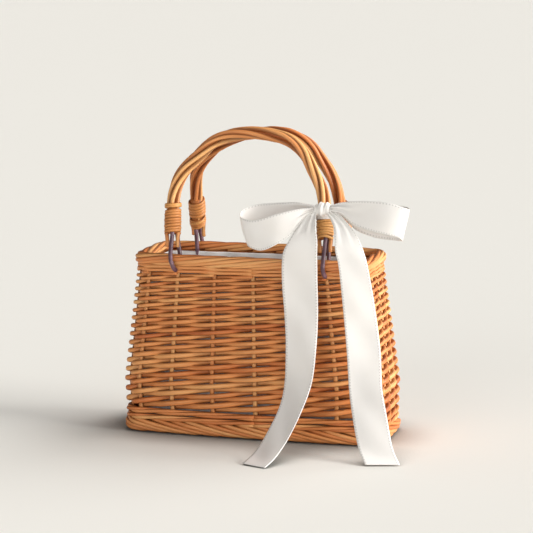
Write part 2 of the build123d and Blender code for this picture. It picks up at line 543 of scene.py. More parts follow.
@dataclass(frozen=True)
class Ground(Finish):
    """The studio floor: matt, pale and even, with painted contact shadow where things stand on it."""
    colour: tuple = (0.88, 0.865, 0.82)
    painted_contact_shadow: tuple = (0.30, 0.31, 0.31)
    reach: float = 0.06

    def paint(self) -> bpy.types.Material:
        """Make the node material, which darkens a little where something stands on the floor: painted
        contact shadow from ambient occlusion.

        Returns:
            The new material.
        """
        n = Nodes(self.name)
        # Painted contact shadow: ambient occlusion darkens the floor's colour near anything that stands on
        # it.
        near = n.add("AmbientOcclusion", samples=12)
        near.inputs["Distance"].default_value = self.reach
        shade = n.ramp(near.outputs["AO"], [(0.45, self.painted_contact_shadow), (0.92, (1.0, 1.0, 1.0))])
        n.link(n.mix(1.0, self.colour, shade, "MULTIPLY"), n.shader.inputs["Base Color"])
        n.shader.inputs["Roughness"].default_value = 0.95
        n.shader.inputs["Specular IOR Level"].default_value = 0.05
        return n.mat


WILLOW = Willow("willow_rods", "willow")
BASE_WILLOW = Willow("willow_base_rods", "willow_base", roughness=0.55)
CANE = Willow("peeled_cane", "cane", shades=((0.0, (0.46, 0.15, 0.035)), (0.4, (0.63, 0.25, 0.07)),
                                      (0.75, (0.73, 0.34, 0.10)), (1.0, (0.81, 0.44, 0.15))))
LEATHER = Leather("plum_leather", "thong_leather")
LINER = Cloth("cotton_cloth", "liner_cotton")
SATIN = Cloth("ivory_satin", "ribbon_satin", colour=(0.91, 0.885, 0.855), shade=(0.88, 0.845, 0.805),
              selvedge=0.6, threads=3200.0, sheen=0.15, roughness=0.30, coat=0.18,
              thread_height=0.00003, anisotropic=0.4)


# ---------------------------------------------------------------- basket body
@dataclass
class BasketForm:
    """The basket's outline at any height, the same one that the frame's solids have (mm)."""
    base: tuple = (247.0, 90.0)
    belly: tuple = (249.0, 93.0)
    neck: tuple = (220.0, 86.0)
    rim: tuple = (224.0, 90.0)
    base_z: float = 12.0
    belly_z: float = 50.0
    neck_z: float = 155.0
    rim_z: float = 167.0
    side_bow: float = 2.0
    front_bow: float = 5.0
    corner: float = 15.0
    samples: int = 1440
    long_stakes: tuple = (-107.0, -75.0, -35.0, 6.0, 45.0, 83.0, 112.0)
    side_stakes: tuple = (-30.0, -10.0, 10.0, 30.0)

    def __post_init__(self) -> None:
        """Draw the reference outline at the belly and place the stakes on it."""
        self.ref = self.outline(*self.belly)
        self.stakes = self.place_stakes()
        self.count = len(self.stakes)

    def outline(self, width: float, depth: float) -> Array:
        """Draw a closed outline, anticlockwise from the middle of the front.

        Args:
            width: Its outer width, in mm.
            depth: Its outer depth, in mm.

        Returns:
            Rows of x, y, normal x and normal y, evenly spaced.
        """
        a, b, r = width / 2, depth / 2, self.corner
        quarter = np.linspace(0, math.pi / 2, 24)
        corners = [(a - r, -b + r, -math.pi / 2), (a - r, b - r, 0.0),
                   (-a + r, b - r, math.pi / 2), (-a + r, -b + r, math.pi)]
        pts = [np.array([[0.0, -b]])]
        for cx, cy, start in corners:
            angle = start + quarter
            pts.append(np.stack([cx + r * np.cos(angle), cy + r * np.sin(angle)], axis=1))
        pts.append(np.array([[0.0, -b]]))
        line = resample(np.vstack(pts), self.samples + 1)
        share = line / (a, b)
        line[:, 1] *= 1 - self.front_bow / b * share[:, 0] ** 2
        line[:, 0] *= 1 - self.side_bow / a * share[:, 1] ** 2
        line = resample(line, self.samples + 1)[:-1]
        step = np.roll(line, -1, axis=0) - np.roll(line, 1, axis=0)
        normal = unit(np.stack([step[:, 1], -step[:, 0]], axis=1))
        return np.hstack([line, normal])

    def share_of(self, x: float, y: float) -> float:
        """Share of the way round the reference outline that lies nearest to a point."""
        return float(np.argmin((self.ref[:, 0] - x) ** 2 + (self.ref[:, 1] - y) ** 2)) / self.samples

    def place_stakes(self) -> Array:
        """Shares of the way round at which the upright stakes stand.

        Returns:
            The stakes' shares of the way round, in order.
        """
        half_w, half_d = self.belly[0] / 2, self.belly[1] / 2
        places = []
        for x in self.long_stakes:
            places += [(x, -half_d), (x, half_d)]
        for y in self.side_stakes:
            places += [(half_w, y), (-half_w, y)]
        return np.array(sorted(self.share_of(x, y) for x, y in places))

    def size_at(self, z: Array) -> tuple:
        """Width and depth of the wall's outside at heights, in mm.

        Args:
            z: Heights, in mm.

        Returns:
            Widths and depths, in mm.
        """
        heights = [0.0, self.base_z, self.belly_z, self.neck_z, self.neck_z + 1, self.rim_z]
        sizes = [self.base, self.base, self.belly, self.neck, self.neck, self.neck]
        return (np.interp(z, heights, [s[0] for s in sizes]), np.interp(z, heights, [s[1] for s in sizes]))

    def stake_share(self, index: Array) -> Array:
        """Shares of the way round at fractional stake numbers, which may pass the last stake.

        Args:
            index: Stake numbers, whole or between two stakes.

        Returns:
            Shares of the way round, which go on past 1 on the next lap.
        """
        index = np.asarray(index, float)
        lap = np.floor(index / self.count)
        closed = np.append(self.stakes, self.stakes[0] + 1.0)
        return np.interp(index - lap * self.count, np.arange(self.count + 1), closed) + lap

    def place(self, share: Array, z: Array, inset: Array, size: tuple | None = None) -> Array:
        """Places on or inside the wall.

        Args:
            share: Shares of the way round.
            z: Heights, in mm.
            inset: Distances inwards from the wall's outside, in mm.
            size: Width and depth that replace the wall's own, in mm.

        Returns:
            Rows of x, y, z in metres.
        """
        at = (np.asarray(share, float) % 1.0) * self.samples
        low = at.astype(int) % self.samples
        t = (at - np.floor(at))[..., None]
        row = self.ref[low] * (1 - t) + self.ref[(low + 1) % self.samples] * t
        w, d = self.size_at(z) if size is None else size
        x = row[..., 0] * (w / self.belly[0]) - row[..., 2] * inset
        y = row[..., 1] * (d / self.belly[1]) - row[..., 3] * inset
        return np.stack([x, y, np.broadcast_to(z, x.shape)], axis=-1) * MM

    def outward(self, share: Array) -> Array:
        """Directions straight out of the wall.

        Args:
            share: Shares of the way round.

        Returns:
            Level directions of length one.
        """
        at = ((np.asarray(share, float) % 1.0) * self.samples).astype(int) % self.samples
        row = self.ref[at]
        return np.stack([row[..., 2], row[..., 3], np.zeros(at.shape)], axis=-1)


@dataclass
class WovenBody:
    """The willow body: stakes, randing, wales, rolled border, foot border and woven base."""
    form: BasketForm
    seed: int = 11
    rows: int = 33
    first_row_z: float = 24.5
    last_row_z: float = 149.5
    low_pitch: float = 4.9
    high_pitch: float = 2.9
    girth: float = 0.57
    squash: float = 0.88
    stake_half_width: float = 2.3
    stake_half_depth: float = 1.2
    steps: int = 8
    wale_clear: float = 3.2
    upsett_rows: tuple = (14.6, 20.4)
    upsett_radius: float = 1.75
    upsett_slant: float = 1.4
    neck_rows: tuple = (151.9, 155.0)
    neck_radius: float = 1.6
    neck_slant: float = 0.7
    border_rods: int = 24
    border_ring: float = 3.8
    border_radius: float = 2.05
    border_span: float = 5.8
    border_centre: float = 6.0
    foot_count: int = 38
    foot_radius: float = 2.2
    foot_span: float = 4.6
    foot_size: tuple = (250.0, 92.0)
    base_z: float = 5.2
    stick_rows: tuple = (-24.0, -12.0, 0.0, 12.0, 24.0)
    rng: np.random.Generator = field(init=False)

    def __post_init__(self) -> None:
        """Seed the body's own random draws."""
        self.rng = np.random.default_rng(self.seed)

    def row_z(self, row: Array) -> Array:
        """Height of the middle of a row, with rows that get thinner towards the rim.

        Args:
            row: Row numbers, whole or between two rows.

        Returns:
            Heights, in mm.
        """
        row = np.asarray(row, float)
        a, b = self.low_pitch, (self.high_pitch - self.low_pitch) / (2 * self.rows)
        span = a * self.rows + b * self.rows ** 2
        return self.first_row_z + (a * row + b * row ** 2) * (self.last_row_z - self.first_row_z) / span

    def rod_radius(self, row: Array) -> Array:
        """Half thickness of the rods in a row, in mm."""
        return (self.row_z(np.asarray(row) + 0.5) - self.row_z(np.asarray(row) - 0.5)) * self.girth

    def build(self) -> list:
        """Make every piece of the woven body.

        Returns:
            The new objects.
        """
        made = [self.randing(), self.uprights(), self.upsett(), self.neck_wale(), self.rolled_border(),
                self.foot_border(), self.base_weave(), self.base_rods()]
        for obj in made:
            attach(obj, "basket")
        return made

    def randing(self) -> bpy.types.Object:
        """Weave the wall: one weaver for each stake, each rising a row at every stake that it passes.

        Returns:
            The new object.
        """
        bundle = RodBundle(8)
        for weaver in range(self.form.count):
            row = np.linspace(0, self.rows, self.rows * self.steps + 1)
            index = weaver + row
            wander = random_drift(self.rng, 0.22, self.rows + 1, len(row))
            radius = self.rod_radius(row) * self.rng.uniform(0.93, 1.06)
            radius = radius * (1 + 0.05 * np.sin(row * 1.7 + weaver))
            reach = self.stake_half_depth + radius * self.squash
            swing = np.cos(math.pi * row)
            swing = np.sign(swing) * np.abs(swing) ** 0.8
            inset = reach * (1 + swing) + radius * self.squash
            share = self.form.stake_share(index)
            points = self.form.place(share, self.row_z(row) + wander, inset)
            change = random_drift(self.rng, 0.16, self.rows // 3, len(row))
            tone = np.clip(self.rng.uniform(0.42, 0.72) + change, 0.0, 1.0)
            bundle.add(points, radius * MM, self.form.outward(share), tone, self.squash)
        return bundle.build("woven_wall_rods", WILLOW, "woven_wall")

    def uprights(self) -> bpy.types.Object:
        """Stand the stakes up inside the weave.

        Returns:
            The new object.
        """
        bundle = RodBundle(10)
        for share in self.form.stakes:
            z = np.linspace(13.0, self.form.neck_z + 2, 24)
            row = np.interp(z, self.row_z(np.arange(self.rows + 1)), np.arange(self.rows + 1))
            inset = self.stake_half_depth + 2 * self.squash * self.rod_radius(row)
            points = self.form.place(np.full(len(z), share), z, inset)
            taper = np.linspace(1.0, 0.86, len(z))
            bundle.add(points, taper * self.stake_half_width * MM, self.form.outward(share),
                       self.rng.uniform(0.6, 1.0), self.stake_half_depth / self.stake_half_width)
        return bundle.build("stakes", WILLOW, "side_stakes")

    def wale(self, name: str, node: str, rows: tuple, radius: float, drop: float) -> bpy.types.Object:
        """Weave rows of three-rod wale: each rod goes before two stakes and behind one.

        Args:
            name: The piece's name.
            node: The frame's solid that it stands for.
            rows: Heights of the rows, in mm.
            radius: Half thickness of the rods, in mm.
            drop: How far a rod slants within its row, in mm.

        Returns:
            The new object.
        """
        bundle = RodBundle(8)
        behind = 2 * radius + self.wale_clear
        depth = np.array([behind, radius, radius + 0.2, behind])
        slant = np.array([drop * 0.4, -drop, drop, drop * 0.4])
        laps = self.form.count // 3 * 3
        for z in rows:
            for rod in range(3):
                index = np.linspace(0, self.form.count, self.form.count * self.steps + 1)
                phase = (index * laps / self.form.count + rod) % 3
                inset = np.interp(phase, [0, 1, 2, 3], depth)
                lift = np.interp(phase, [0, 1, 2, 3], slant)
                soft = np.ones(5) / 5
                inset = np.convolve(np.pad(inset, 2, mode="wrap"), soft, "valid")
                lift = np.convolve(np.pad(lift, 2, mode="wrap"), soft, "valid")
                points = self.form.place(self.form.stake_share(index), z + lift, inset)
                bundle.add(points, radius * MM, self.form.outward(self.form.stake_share(index)),
                           self.rng.uniform(0.35, 0.9))
        return bundle.build(name, WILLOW, node)

    def upsett(self) -> bpy.types.Object:
        """The upsett wale round the bottom of the stakes."""
        return self.wale("upsett_rods", "upsett_wale", self.upsett_rows, self.upsett_radius,
                         self.upsett_slant)

    def neck_wale(self) -> bpy.types.Object:
        """The two thin rows of wale under the rim."""
        return self.wale("neck_wale_rods", "top_wale", self.neck_rows, self.neck_radius, self.neck_slant)

    def rolled_border(self) -> bpy.types.Object:
        """Roll the stakes' ends round the rim: each comes out below, up the front and over the top.

        Returns:
            The new object.
        """
        form, bundle = self.form, RodBundle(10)
        count, radius, centre = self.border_rods, self.border_radius, self.border_centre
        centre_z, steps, laps = form.rim_z - centre, 30, 240
        for rod in range(count):
            t = np.linspace(0, 1, steps)
            start = rod / count + self.rng.uniform(-0.004, 0.004)
            share = start + t * self.border_span / count
            angle = np.radians(np.interp(t, [0, 0.55, 1], [-82.0, 62.0, 215.0]))
            lie = self.border_ring + 0.15 * np.sin(rod * 2.1 + 6 * t)
            lie = lie * np.interp(t, [0, 0.85, 1], [1.0, 1.0, 0.72])
            z, inset = centre_z + lie * np.sin(angle), centre - lie * np.cos(angle)
            points = form.place(share, z, inset, form.rim)
            width = radius * np.interp(t, [0, 0.06, 0.8, 1], [0.8, 1.0, 1.0, 0.7])
            bundle.add(points, width * MM, form.outward(share), self.rng.uniform(0.35, 0.95))
        # The core rod inside the roll gets the darkest tone: painted shade where it shows between the border
        # rods.
        core = form.place(np.linspace(0, 1, laps), np.full(laps, centre_z), np.full(laps, centre), form.rim)
        bundle.add(core, 2.4 * MM, Z_AXIS, 0.1)
        return bundle.build("border_rods", WILLOW, "top_border")

    def foot_border(self) -> bpy.types.Object:
        """Lay the foot: rods slant down to the right from under the wale and tuck in below.

        Returns:
            The new object.
        """
        form, bundle = self.form, RodBundle(8)
        count, radius, steps = self.foot_count, self.foot_radius, 26
        for rod in range(count):
            t = np.linspace(0, 1, steps)
            share = rod / count + self.rng.uniform(-0.005, 0.005) + t * self.foot_span / count
            z = np.interp(t, [0, 0.1, 0.3, 0.62, 0.88, 1], [13.0, 12.2, 9.0, 4.2, 2.3, 3.2])
            inset = np.interp(t, [0, 0.1, 0.3, 0.62, 0.88, 1], [7.5, 4.6, 2.2, 2.6, 4.6, 9.5])
            soft = np.array([0.25, 0.5, 0.25])
            z[1:-1] = np.convolve(z, soft, "valid")
            inset[1:-1] = np.convolve(inset, soft, "valid")
            width = radius * self.rng.uniform(0.9, 1.03) * np.interp(t, [0, 0.7, 1], [1.0, 0.98, 0.8])
            points = form.place(share, np.maximum(z, radius), np.maximum(inset, radius), self.foot_size)
            bundle.add(points, width * MM, form.outward(share), self.rng.uniform(0.3, 0.85))
        return bundle.build("foot_rods", WILLOW, "foot_border")

    def base_weave(self) -> bpy.types.Object:
        """Weave the base: rods across the width go over and under the long sticks.

        Returns:
            The new object.
        """
        bundle = RodBundle(8)
        sticks, low = self.stick_rows, self.base_z
        pitch, radius, half = 3.7, 1.8, 112.0
        for k in range(int(2 * half / pitch) + 1):
            x = -half + k * pitch
            reach = 36.0 - 4.6 * (x / half) ** 2
            y = np.linspace(-reach, reach, 49)
            sway = np.cos(math.pi * (y / 12.0) + math.pi * (k % 2))
            z = low + 1.5 * sway
            x_line = x + 0.25 * np.sin(y * 0.11 + k)
            points = np.stack([x_line, y, z], axis=1) * MM
            bundle.add(points, radius * MM * self.rng.uniform(0.93, 1.04), Z_AXIS,
                       self.rng.uniform(0.1, 0.9))
        for y in (sticks[0] - 9.0, sticks[-1] + 9.0):
            x_line = np.linspace(-half, half, 90)
            points = np.stack([x_line, y * (1 - 0.1 * (x_line / half) ** 2), np.full(90, low)], axis=1) * MM
            bundle.add(points, 2.0 * MM, Z_AXIS, 0.4)
        return bundle.build("base_rods_woven", BASE_WILLOW, "base_mat")

    def base_rods(self) -> bpy.types.Object:
        """Lay the long flat sticks in the base.

        Returns:
            The new object.
        """
        bundle = RodBundle(10)
        for y in self.stick_rows:
            x = np.linspace(-113.0, 113.0, 40)
            points = np.stack([x, np.full(40, y), np.full(40, self.base_z)], axis=1) * MM
            bundle.add(points, 2.6 * MM, Z_AXIS, self.rng.uniform(0.5, 0.9), 0.45)
        return bundle.build("base_stick_rods", BASE_WILLOW, "base_sticks")


# ---------------------------------------------------------------- cloth
def sheet_grid(name: str, grid: Array, finish: Finish, thickness: float,
               closed: bool = False) -> bpy.types.Object:
    """Make a thin sheet with two faces and an edge from a grid of points.

    Args:
        name: The piece's name.
        grid: Points as rows by columns by xyz, in metres.
        finish: The finish that it gets.
        thickness: Its thickness, in metres.
        closed: Whether the last row meets the first.

    Returns:
        The new object.
    """
    rows, cols = grid.shape[:2]
    faces = []
    for i in range(rows if closed else rows - 1):
        for j in range(cols - 1):
            a, b = i * cols + j, ((i + 1) % rows) * cols + j
            faces.append((a, b, b + 1, a + 1))
    obj = new_object(name, grid.reshape(-1, 3), faces)
    obj.data.materials.append(finish.material())
    thread = np.zeros((rows, cols, 3), np.float32)
    thread[..., 0] = distance_along(grid[:, cols // 2])[:, None]
    thread[..., 1] = np.linspace(-1, 1, cols)
    mark = obj.data.attributes.new("thread", "FLOAT_VECTOR", "POINT")
    mark.data.foreach_set("vector", thread.ravel())
    solid = obj.modifiers.new("thickness", "SOLIDIFY")
    solid.thickness = thickness
    solid.offset = 0.0
    bpy.context.view_layer.update()
    graph = bpy.context.evaluated_depsgraph_get()
    thick = bpy.data.meshes.new_from_object(obj.evaluated_get(graph))
    obj.modifiers.clear()
    obj.data = thick
    thick.shade_smooth()
    return obj


@dataclass
class ClothLiner:
    """The cotton lining: one band sewn into a ring round the wall and a floor panel."""
    form: BasketForm
    inset: float = 12.6
    floor_z: float = 12.6
    top_z: float = 157.4
    thickness: float = 0.0006
    seed: int = 5

    def build(self) -> list:
        """Make both panels of the lining.

        Returns:
            The new objects.
        """
        rng = np.random.default_rng(self.seed)
        around, up = 260, 46
        share = np.linspace(0, 1, around, endpoint=False)
        z = np.concatenate([np.linspace(self.floor_z, self.top_z, up - 6),
                            self.top_z + np.array([0.8, 1.0, 0.6, -0.8, -3.0, -6.0])])
        fold = np.concatenate([np.zeros(up - 6), np.array([0.3, 0.9, 1.6, 2.0, 2.1, 2.2])])
        waves = [(rng.integers(9, 30), rng.uniform(0, 6.28), rng.uniform(0.1, 0.35)) for _ in range(8)]
        ripple = sum(a * np.sin(2 * math.pi * f * share + p) for f, p, a in waves)
        grid = np.zeros((around, up, 3))
        for j in range(up):
            slack = np.interp(z[j], [self.floor_z, 70, self.top_z], [0.2, 1.0, 0.75])
            wander = 0.35 * np.sin(0.09 * z[j] + 2 * math.pi * 5 * share)
            inset = self.inset + ripple * slack + wander - fold[j] * 0.9 + 0.8
            grid[:, j] = self.form.place(share, np.full(around, z[j]), inset)
        band = sheet_grid("liner_band", grid, LINER, self.thickness, closed=True)
        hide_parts("liner_side")
        floor = self.floor_panel()
        for obj in (band, floor):
            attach(obj, "basket")
        return [band, floor]

    def floor_panel(self) -> bpy.types.Object:
        """Lay the panel on the basket's floor, with a few soft wrinkles.

        Returns:
            The new object.
        """
        around, rings = 160, 18
        share = np.linspace(0, 1, around, endpoint=False)
        rim = self.form.place(share, np.full(around, self.floor_z), np.full(around, self.inset + 0.6))
        grid = np.zeros((around, rings, 3))
        for j in range(rings):
            k = 0.02 + 0.98 * j / (rings - 1)
            grid[:, j] = rim * k
            wrinkle = 0.5 * np.sin(90 * grid[:, j, 0] + 30 * grid[:, j, 1]) * (1 - k) + 0.3 * np.sin(
                210 * grid[:, j, 0] - 160 * grid[:, j, 1]) * (1 - k ** 2)
            grid[:, j, 2] = (self.floor_z + 0.5 + 0.5 * wrinkle) * MM
        floor = sheet_grid("liner_floor_panel", grid[:, ::-1], LINER, self.thickness, closed=True)
        width, depth = (float(v) for v in self.form.size_at(self.floor_z))
        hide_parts("liner_bottom")
        return floor


# ---------------------------------------------------------------- handles
class Side(Enum):
    """Which rim a handle hangs on."""
    FRONT = -1
    BACK = 1


@dataclass
class Handle:
    """One swinging handle, made upright over the X axis and then leaned in (mm)."""
    side: Side
    arch: list
    seed: int
    foot_x: float = 72.0
    foot_y: float = 36.86
    hinge_z: float = 161.0
    lean: float = 14.88
    binding: tuple = (23.0, 50.0)
    stub_low: float = 11.5
    stub_spread: float = 5.2
    rod_radius: float = 2.15
    bundle_radius: float = 3.8
    twist_length: float = 185.0
    thong_radius: float = 2.2
    thong_loop: float = 9.2
    thong_top: float = 4.0
    thong_start: float = 190.0
    thong_stop: float = 350.0
    thong_flat: float = 0.86
    front_left_slip: float = 5.0
    winding_radius: float = 6.7
    winding_flat: float = 0.6
    tuck_radius: float = 7.35
    core_radius: float = 6.1
    heart_radius: float = 1.9

    @property
    def label(self) -> str:
        """The first word of the names of the handle's pieces."""
        return self.side.name.lower()

    @property
    def body(self) -> str:
        """Name of the frame's body that the handle belongs to."""
        return f"{self.label}_handle"

    def lean_in(self, points: Array) -> Array:
        """Put upright handle places (mm) where the handle leans at rest (metres).

        Args:
            points: Places as x, y and height over the hinge, in mm.

        Returns:
            Places in the frame, in metres.
        """
        points = np.asarray(points, float)
        turn = math.radians(self.lean) * self.side.value
        c, s = math.cos(turn), math.sin(turn)
        y = points[..., 1] * c - points[..., 2] * s + self.side.value * self.foot_y
        z = points[..., 1] * s + points[..., 2] * c + self.hinge_z
        return np.stack([points[..., 0], y, z], axis=-1) * MM

    def turn_in(self, vectors: Array) -> Array:
        """Turn upright handle directions to the lean at rest."""
        return (self.lean_in(vectors) - self.lean_in(np.zeros(3))) / MM

    def leg(self, sign: int) -> tuple:
        """Find where a leg stands and which way it runs.

        Args:
            sign: -1 for the left leg, 1 for the right leg.

        Returns:
            The leg's foot (mm), the direction up it and the direction across it.
        """
        foot = np.array([sign * self.foot_x, 0.0, 0.0])
        corner = self.arch[0] if sign < 0 else self.arch[-1]
        up = unit(np.array([corner[0], 0.0, corner[1]]) - foot)
        across = np.array([up[2], 0.0, -up[0]])
        return foot, up, across

    def route(self) -> Array:
        """Centre line of the rods from the left binding, over the arch, to the right binding.

        Returns:
            Evenly spaced samples along the line, in mm.
        """
        ends = [self.leg(sign)[0] + self.leg(sign)[1] * (self.binding[0] + 4.0) for sign in (-1, 1)]
        corners = [(x, 0.0, z) for x, z in self.arch]
        return resample(rounded_route([ends[0], *corners, ends[1]]), 150)

    def build(self) -> list:
        """Make the handle's rods, bindings, cut ends and thongs.

        Returns:
            The new objects.
        """
        made = [self.rods()]
        for sign, name in ((-1, "left"), (1, "right")):
            made += [self.whipping(sign, name), self.cut_ends(sign, name), self.thong(sign, name)]
        for obj in made:
            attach(obj, self.body)
        return made

    def rods(self) -> bpy.types.Object:
        """Twist the rods of the handle round each other.

        Returns:
            The new object.
        """
        rng = np.random.default_rng(self.seed)
        line = self.route()
        along = tangents(line)
        normal = np.tile(Y_AXIS, (len(line), 1))
        cross = unit(np.cross(along, normal))
        run = distance_along(line)
        bundle = RodBundle(10)
        outer = 5
        for rod in range(outer):
            start = 2 * math.pi * rod / outer + rng.uniform(-0.12, 0.12)
            sway = random_drift(rng, 0.16, 8, len(run))
            angle = start + 2 * math.pi * run / self.twist_length + sway
            reach = self.bundle_radius + 0.25 * np.sin(run * 0.05 + rod * 2)
            spoke = normal * np.cos(angle)[:, None] + cross * np.sin(angle)[:, None]
            centre = line + reach[:, None] * spoke
            girth = self.rod_radius * rng.uniform(0.93, 1.04) * (1 + 0.03 * np.sin(run * 0.11 + rod))
            bundle.add(self.lean_in(centre), girth * MM, self.turn_in(spoke), rng.uniform(0.45, 1.0))
        # The heart rod gets a dark tone: painted shade where it shows between the twisted rods.
        bundle.add(self.lean_in(line), self.heart_radius * MM, self.turn_in(normal), 0.2)
        return bundle.build(f"{self.label}_twisted_rods", WILLOW, f"{self.label}_handle_rods")

    def whipping(self, sign: int, name: str) -> bpy.types.Object:
        """Wind flat cane round the end of a leg, in groups of turns that slant and cross.

        Args:
            sign: -1 for the left leg, 1 for the right leg.
            name: The side's name.

        Returns:
            The new object.
        """
        rng = np.random.default_rng(self.seed + 10 + sign)
        foot, up, across = self.leg(sign)
        low, high = self.binding
        bundle = RodBundle(8)
        for start, stop, turns, slant, turn_phase, point in self.windings(sign):
            t = np.linspace(0, 1, turns * 30)
            half = (stop - start) / turns / 2
            angle = 2 * math.pi * turns * t + turn_phase
            wobble = random_drift(rng, 0.14, turns * 3, len(t))
            tip = point * (1 - t) ** 3 * np.cos(2 * angle)
            height = start + half + (stop - start - 2 * half) * t + slant * np.sin(angle) + wobble + tip
            radius = self.winding_radius + 0.3 * np.sin(t * math.pi) + 0.12 * np.sin(angle * 0.5)
            spoke = across[None] * np.cos(angle)[:, None] + Y_AXIS[None] * np.sin(angle)[:, None]
            wind = foot + up * height[:, None] + spoke * radius[:, None]
            bundle.add(self.lean_in(wind), half * MM, self.turn_in(spoke), rng.uniform(0.35, 0.9),
                       self.winding_flat)
        slant_run = np.linspace(0, 1, 24)
        sweep = math.pi * (1.0 + 0.9 * slant_run) * self.side.value
        spoke = across[None] * np.cos(sweep)[:, None] + Y_AXIS[None] * np.sin(sweep)[:, None]
        tail = foot + up * (low + 0.9 + 5.5 * slant_run)[:, None] + spoke * self.tuck_radius
        bundle.add(self.lean_in(tail), 1.2 * MM, self.turn_in(spoke), 0.8, 0.45)
        # The core under the turns gets the darkest cane tone: painted shade where it shows between the
        # turns.
        core = foot + up * np.linspace(low + 1.6, high - 0.8, 6)[:, None]
        bundle.add(self.lean_in(core), self.core_radius * MM, self.turn_in(Y_AXIS), 0.0)
        return bundle.build(f"{self.label}_{name}_whipping", CANE, f"{self.label}_{name}_binding")

    def windings(self, sign: int) -> list:
        """Groups of turns on a leg.

        Args:
            sign: -1 for the left leg, 1 for the right leg.

        Returns:
            Rows of low end, high end, turns, slant, starting angle and depth of the pointed lower end (mm).
        """
        low, high = self.binding
        if self.side is Side.FRONT and sign < 0:
            return [(low, high - 3.4, 8, 0.3, 0.4, 0.0), (high - 3.2, high + 2.8, 2, 0.8, 2.0, 0.0)]
        if self.side is Side.FRONT:
            return [(low, high, 10, 0.35, 0.9, -1.6)]
        return [(low + 9.0, high, 5, 1.3, 2.6, 0.0), (low, low + 10.0, 4, 2.0, 3.4, 0.8)]

    def thong(self, sign: int, name: str) -> bpy.types.Object:
        """Loop the leather thong under the rim, with both ends up inside the binding.

        Args:
            sign: -1 for the left leg, 1 for the right leg.
            name: The side's name.

        Returns:
            The new object.
        """
        angle = np.radians(np.linspace(self.thong_start, self.thong_stop, 40))
        loop = np.stack([self.thong_loop * np.cos(angle), self.thong_loop * np.sin(angle)], axis=1)
        top = self.binding[0] + 4.0
        line = np.vstack([[[-self.thong_top, top], [-self.thong_top - 0.6, top - 5.0]], loop,
                          [[self.thong_top + 0.6, top - 5.0], [self.thong_top, top]]])
        line = resample(smooth_line(line.tolist(), 160), 90)
        share = np.linspace(0, 1, len(line))
        shift = np.interp(share, [0, 0.25, 0.5, 0.75, 1], [0.0, 0.15, 1.0, 0.9, 0.2])
        shift = shift * (self.front_left_slip if sign < 0 and self.side is Side.FRONT else 1.0)
        outside = line[:, 0] * -self.side.value
        points = np.stack([sign * self.foot_x + shift, outside, line[:, 1]], axis=1)
        bundle = RodBundle(12)
        bundle.add(self.lean_in(points), self.thong_radius * MM, self.turn_in(X_AXIS), 0.5,
                   self.thong_flat)
        return bundle.build(f"{self.label}_{name}_leather", LEATHER, f"{self.label}_{name}_thong")

    def cut_ends(self, sign: int, name: str) -> bpy.types.Object:
        """Leave the rods' cut ends standing out under the binding, either side of the thong.

        Args:
            sign: -1 for the left leg, 1 for the right leg.
            name: The side's name.

        Returns:
            The new object.
        """
        rng = np.random.default_rng(self.seed + 20 + sign)
        foot, up, across = self.leg(sign)
        bundle = RodBundle(10)
        for place in (-1, 1):
            low = self.stub_low + rng.uniform(0.1, 2.0)
            height = np.linspace(low, self.binding[0] + 2.0, 8)
            lateral = place * (self.stub_spread + 0.35 * np.sin(height * 0.3))
            points = foot + up * height[:, None] + across * lateral[:, None]
            bundle.add(self.lean_in(points), np.linspace(1.75, 1.95, 8) * MM, self.turn_in(Y_AXIS),
                       rng.uniform(0.5, 1.0))
        return bundle.build(f"{self.label}_{name}_cut_ends", WILLOW, f"{self.label}_{name}_stubs")


# ---------------------------------------------------------------- ribbon
# Stations of the bow's strips: both edges' x and z, then both edges' y, in mm.
LEFT_LOOP = [
    (62, 215, 62, 208, -37, -37), (54, 216, 52, 206, -35, -35), (44, 217, 41, 200, -33, -33),
    (21, 215, 21, 190, -30, -30), (6, 213, 7, 186, -30, -30), (-3, 210, 2, 183, -34, -33),
    (-6, 206, 0, 180, -39, -38), (-2, 203, 4, 177, -45, -45), (11, 202, 17, 175, -48, -49),
    (31, 208, 31, 181, -48, -51), (47, 212, 44, 190, -45, -47), (56, 213, 53, 201, -42, -43),
    (63, 214, 63, 208, -39, -39)]
RIGHT_LOOP = [
    (77, 216, 77, 210, -37, -37), (87, 218, 88, 205, -35, -35), (100, 219, 100, 194, -33, -34),
    (115, 218, 116, 188, -30, -33), (133, 217, 132, 186, -30, -33), (145, 216, 140, 186, -33, -35),
    (149, 215, 143, 187, -39, -39), (146, 217, 141, 190, -45, -44), (134, 221, 131, 193, -47, -48),
    (116, 222, 117, 196, -46, -48), (99, 221, 100, 201, -44, -45), (88, 219, 88, 208, -41, -41),
    (78, 216, 78, 210, -39, -39)]
LEFT_TAIL = [
    (61, 212, 67, 211, -38, -39), (56, 206, 66, 206, -41, -43), (49, 196, 67, 197, -45, -48),
    (42, 184, 69, 186, -48, -51), (37, 172, 69, 173, -50, -52), (36, 150, 69, 152, -50, -51),
    (38, 123, 70, 125, -51, -53), (40, 93, 70, 94, -54, -58), (41, 63, 68, 64, -59, -67),
    (40, 41, 63, 39, -72, -84), (35, 24, 57, 20, -88, -102), (28, 8, 51, 6, -108, -122),
    (23, 1.2, 46, 1.2, -127, -135)]
RIGHT_TAIL = [
    (73, 211, 79, 211, -40, -38), (78, 206, 88, 207, -43, -41), (83, 198, 98, 198, -47, -44),
    (85, 188, 105, 189, -51, -46), (86, 178, 110, 178, -53, -47), (89, 164, 114, 165, -53, -48),
    (92, 136, 119, 137, -53, -48), (97, 92, 126, 94, -57, -52), (102, 59, 131, 61, -68, -64),
    (109, 36, 139, 38, -81, -78), (117, 14, 147, 15, -93, -90), (126, 1.4, 155, 1.4, -104, -96)]


